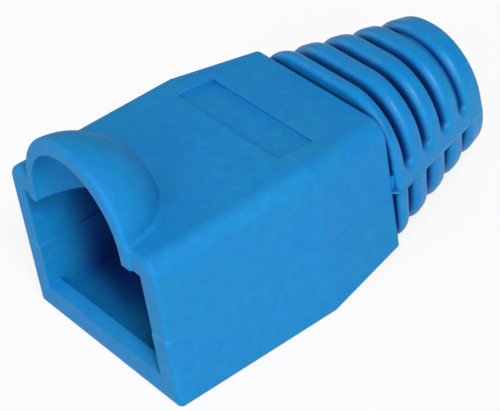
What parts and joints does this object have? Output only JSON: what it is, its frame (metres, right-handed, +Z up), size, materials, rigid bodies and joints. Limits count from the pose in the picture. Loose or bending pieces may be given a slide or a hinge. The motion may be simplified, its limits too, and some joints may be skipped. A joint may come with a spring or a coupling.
{
  "type": "rj45 strain relief boot",
  "caption": "Soft moulded strain relief boot for an eight-way modular plug, with a domed latch guard over the mouth and a ribbed flexible cable sleeve.",
  "frame": {"origin": "middle of the overall length and width, on the flat underside", "axes": "+Z up, the side of the plug's latch; +Y along the cable, away from the plug; +X across"},
  "size_m": [0.0142, 0.0262, 0.0148],
  "materials": {
    "boot": "soft plasticised vinyl, fine satin"
  },
  "bodies": {
    "root": {"boot": "boot"}
  },
  "joints": []
}
